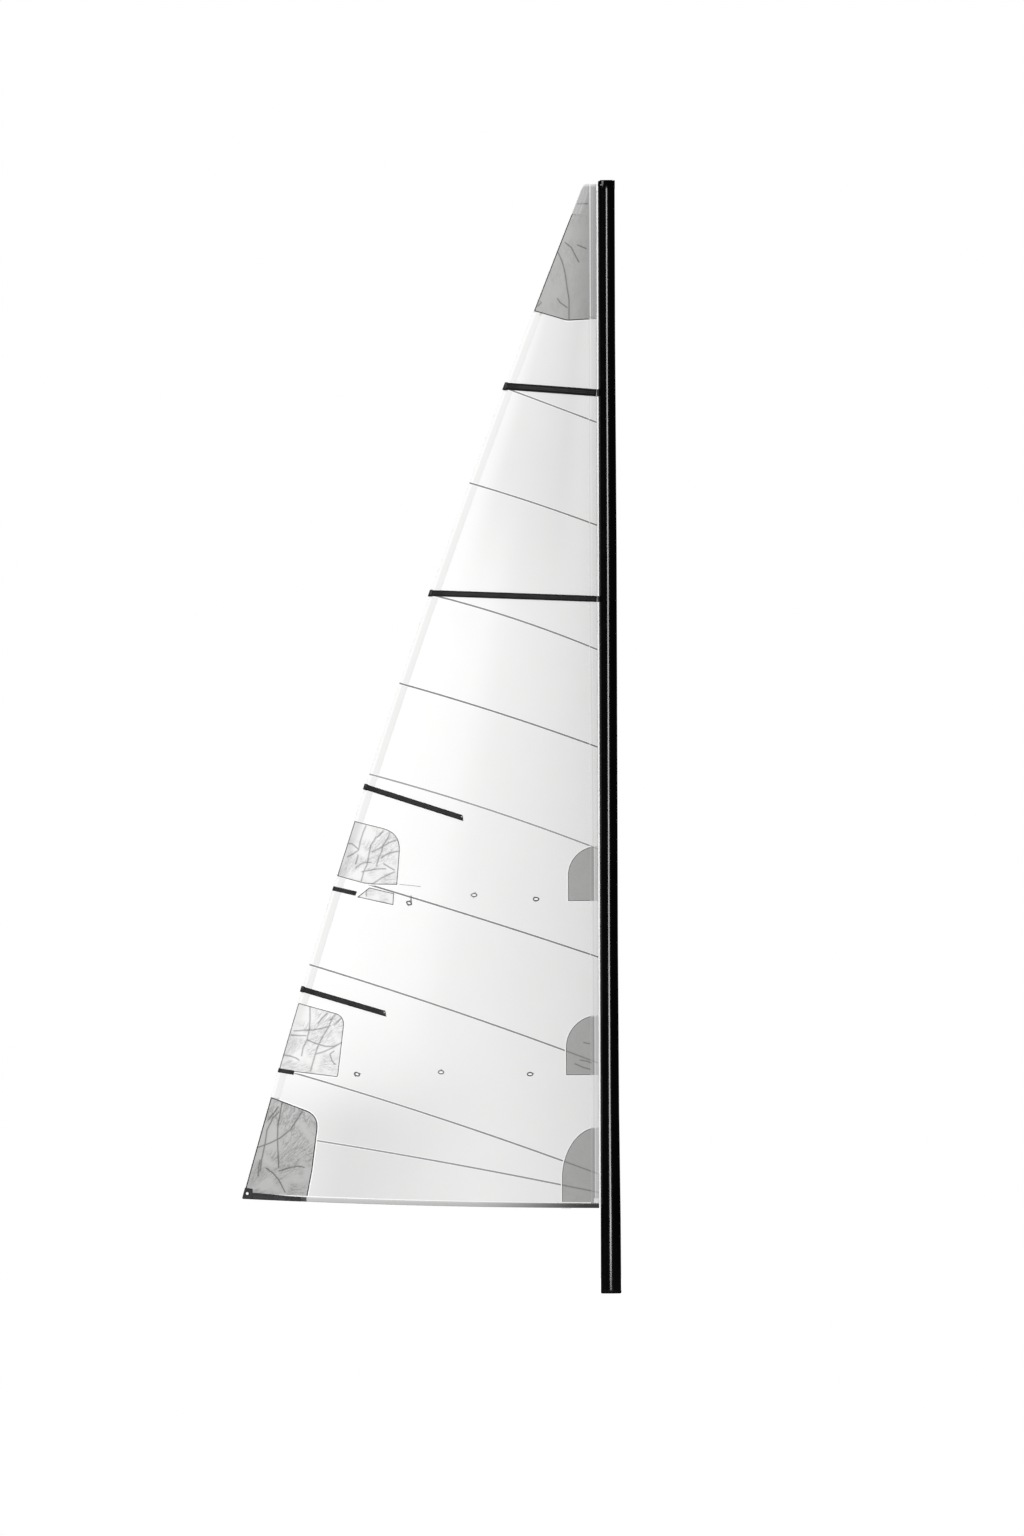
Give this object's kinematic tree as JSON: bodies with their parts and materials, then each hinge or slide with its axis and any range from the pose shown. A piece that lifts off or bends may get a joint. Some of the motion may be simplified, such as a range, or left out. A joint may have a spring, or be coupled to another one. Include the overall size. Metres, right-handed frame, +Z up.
{
  "type": "mainsail",
  "caption": "Battened cross-cut mainsail set on its mast, with reefing points, batten pockets and a luff rope in the groove.",
  "frame": {"origin": "centre of the mast's flat foot", "axes": "+Z up the mast, +X forward to the bow, +Y to port; the sail lies aft of the mast with its belly to starboard"},
  "size_m": [3.3481, 0.3331, 9.832],
  "materials": {
    "sailcloth": "matt woven polyester",
    "tape_cloth": "matt woven tape",
    "patch_cloth": "matt laminated cloth",
    "reef_patch_cloth": "matt laminated cloth",
    "black_webbing": "matt woven webbing",
    "black_anodised": "glossy black anodised",
    "black_plastic": "satin",
    "rope": "matt",
    "glass_fibre": "satin",
    "stainless_steel": "satin",
    "eyelet_metal": "satin"
  },
  "bodies": {
    "mast": {"mast_tube": "black_anodised", "mast_head_cap": "black_plastic", "mast_heel_plug": "black_plastic", "sheave_pin": "stainless_steel"},
    "sheave": {"halyard_sheave": "black_plastic"},
    "luff_rope": {"luff_bolt_rope": "rope"},
    "sail": {"clew_cover": "black_webbing", "clew_foot_strap": "black_webbing", "clew_patch_port": "patch_cloth", "clew_patch_starboard": "patch_cloth", "clew_ring": "eyelet_metal", "foot_tape": "tape_cloth", "head_patch_port": "patch_cloth", "head_patch_starboard": "patch_cloth", "headboard": "black_plastic", "leech_tape": "tape_cloth", "luff_tape": "tape_cloth", "reef_1_clew_patch_port": "reef_patch_cloth", "reef_1_clew_patch_starboard": "reef_patch_cloth", "reef_1_clew_strap": "black_webbing", "reef_1_tack_patch_port": "patch_cloth", "reef_1_tack_patch_starboard": "patch_cloth", "reef_2_clew_patch_port": "reef_patch_cloth", "reef_2_clew_patch_starboard": "reef_patch_cloth", "reef_2_clew_strap": "black_webbing", "reef_2_tack_patch_port": "patch_cloth", "reef_2_tack_patch_starboard": "patch_cloth", "reef_eyelet_1_1": "eyelet_metal", "reef_eyelet_1_2": "eyelet_metal", "reef_eyelet_1_3": "eyelet_metal", "reef_eyelet_2_1": "eyelet_metal", "reef_eyelet_2_2": "eyelet_metal", "reef_eyelet_2_3": "eyelet_metal", "sail_panel_01": "sailcloth", "sail_panel_02": "sailcloth", "sail_panel_03": "sailcloth", "sail_panel_04": "sailcloth", "sail_panel_05": "sailcloth", "sail_panel_06": "sailcloth", "sail_panel_07": "sailcloth", "sail_panel_08": "sailcloth", "sail_panel_09": "sailcloth", "sail_panel_10": "sailcloth", "sail_panel_11": "sailcloth", "tack_patch_port": "patch_cloth", "tack_patch_starboard": "patch_cloth", "tack_webbing": "tape_cloth", "batten_pocket_1": "black_webbing", "batten_pocket_2": "black_webbing", "batten_pocket_3": "black_webbing", "batten_pocket_4": "black_webbing"},
    "batten_1": {"batten_1": "glass_fibre", "batten_end_cap_1": "black_plastic"},
    "batten_2": {"batten_2": "glass_fibre", "batten_end_cap_2": "black_plastic"},
    "batten_3": {"batten_3": "glass_fibre", "batten_end_cap_3": "black_plastic"},
    "batten_4": {"batten_4": "glass_fibre", "batten_end_cap_4": "black_plastic"}
  },
  "joints": [
    {"name": "hoist", "type": "slide", "parent": "mast", "child": "luff_rope", "axis": [0, 0, 1], "range_m": [-0.7, 0]},
    {"name": "sail_swing", "type": "hinge", "parent": "luff_rope", "child": "sail", "pos_m": [-0.105, 0, 0.755], "axis": [0, 0, 1], "range_deg": [-62, 62]},
    {"name": "sheave_spin", "type": "hinge", "parent": "mast", "child": "sheave", "pos_m": [-0.0645, 0, 9.789], "axis": [0, 1, 0], "continuous": true},
    {"name": "batten_1_pull", "type": "hinge", "parent": "sail", "child": "batten_1", "pos_m": [-0.46673, 1.01003, 7.98049], "axis": [-0.0758, 0, -0.9971], "range_deg": [0, 41.93]},
    {"name": "batten_2_pull", "type": "hinge", "parent": "sail", "child": "batten_2", "pos_m": [-0.77612, 1.89403, 6.1585], "axis": [-0.038, 0, -0.9993], "range_deg": [0, 41.31]},
    {"name": "batten_3_pull", "type": "hinge", "parent": "sail", "child": "batten_3", "pos_m": [-1.12173, 2.60548, 4.14539], "axis": [-0.3065, 0, -0.9519], "range_deg": [0, 18.85]},
    {"name": "batten_4_pull", "type": "hinge", "parent": "sail", "child": "batten_4", "pos_m": [-1.44499, 3.36908, 2.31797], "axis": [-0.2834, 0, -0.959], "range_deg": [0, 12.43]}
  ]
}
